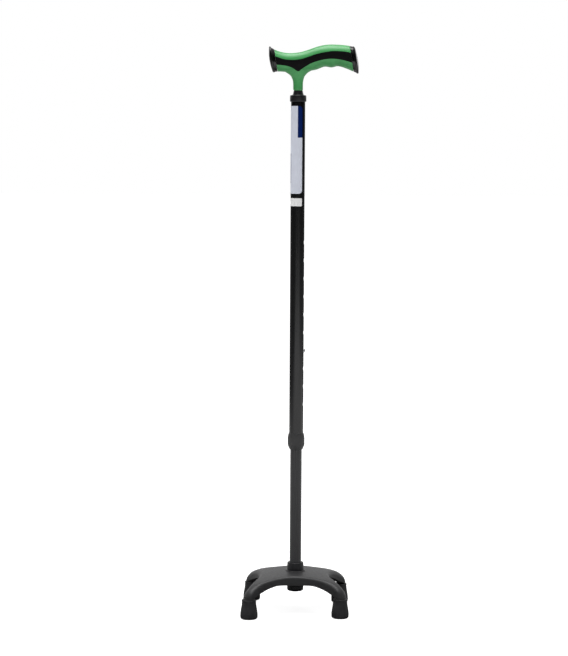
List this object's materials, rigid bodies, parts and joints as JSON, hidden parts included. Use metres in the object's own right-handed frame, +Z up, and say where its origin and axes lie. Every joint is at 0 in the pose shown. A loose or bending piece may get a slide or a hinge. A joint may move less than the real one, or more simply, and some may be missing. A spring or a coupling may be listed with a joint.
{
  "type": "quad cane",
  "caption": "Height-adjustable walking cane with a contoured T-handle, sliding tube with snap button and lock nut, and an arched base on rubber feet.",
  "frame": {"origin": "on the floor, at the bottom centre of the box round the whole cane", "axes": "+Z up along the shaft, +X towards the long end of the handle and the adjusting holes, +Y towards the rear"},
  "size_m": [0.1572, 0.1464, 0.7852],
  "materials": {
    "green_plastic": "satin",
    "black_rubber": "matte",
    "black_plastic": "satin",
    "black_paint": "black coated",
    "grey_aluminium": "dark grey coated",
    "dark_plastic": "matte",
    "base_plastic": "satin",
    "foot_rubber": "matte",
    "steel": "plated",
    "white_nylon": "satin"
  },
  "bodies": {
    "base": {"lower_tube": "grey_aluminium", "guide_bush": "white_nylon", "snap_spring": "steel", "tube_plug": "steel", "hub_collar": "black_plastic", "base_frame": "base_plastic", "hub_bolt": "steel", "hub_washer": "steel", "hub_under_cap": "black_plastic", "foot_front_left": "foot_rubber", "foot_front_right": "foot_rubber", "foot_rear_left": "foot_rubber", "foot_rear_right": "foot_rubber", "foot_washer_front_left": "steel", "foot_washer_front_right": "steel", "foot_washer_rear_left": "steel", "foot_washer_rear_right": "steel"},
    "upper": {"handle_body": "green_plastic", "grip_inlay_front": "black_rubber", "grip_inlay_rear": "black_rubber", "end_cap_short": "black_rubber", "end_cap_long": "black_rubber", "handle_stud": "steel", "stud_nut": "steel", "handle_plug": "black_plastic", "neck_collar": "black_plastic", "upper_tube": "black_paint", "lock_ring": "white_nylon"},
    "nut": {"lock_nut": "dark_plastic"},
    "button": {"snap_button": "steel"}
  },
  "joints": [
    {"name": "height_slide", "type": "slide", "parent": "base", "child": "upper", "axis": [0, 0, 1], "range_m": [-0.15, 0.075], "deforming": ["snap_button", "snap_spring"]},
    {"name": "lock_nut_turn", "type": "hinge", "parent": "upper", "child": "nut", "pos_m": [-0.00399, 0, 0.238], "axis": [0, 0, 1], "range_deg": [-180, 0]},
    {"name": "snap_button_press", "type": "slide", "parent": "base", "child": "button", "axis": [-1, 0, 0], "range_m": [0, 0.0038], "stiffness_N_per_m": 2000, "deforming": ["snap_spring"]}
  ]
}
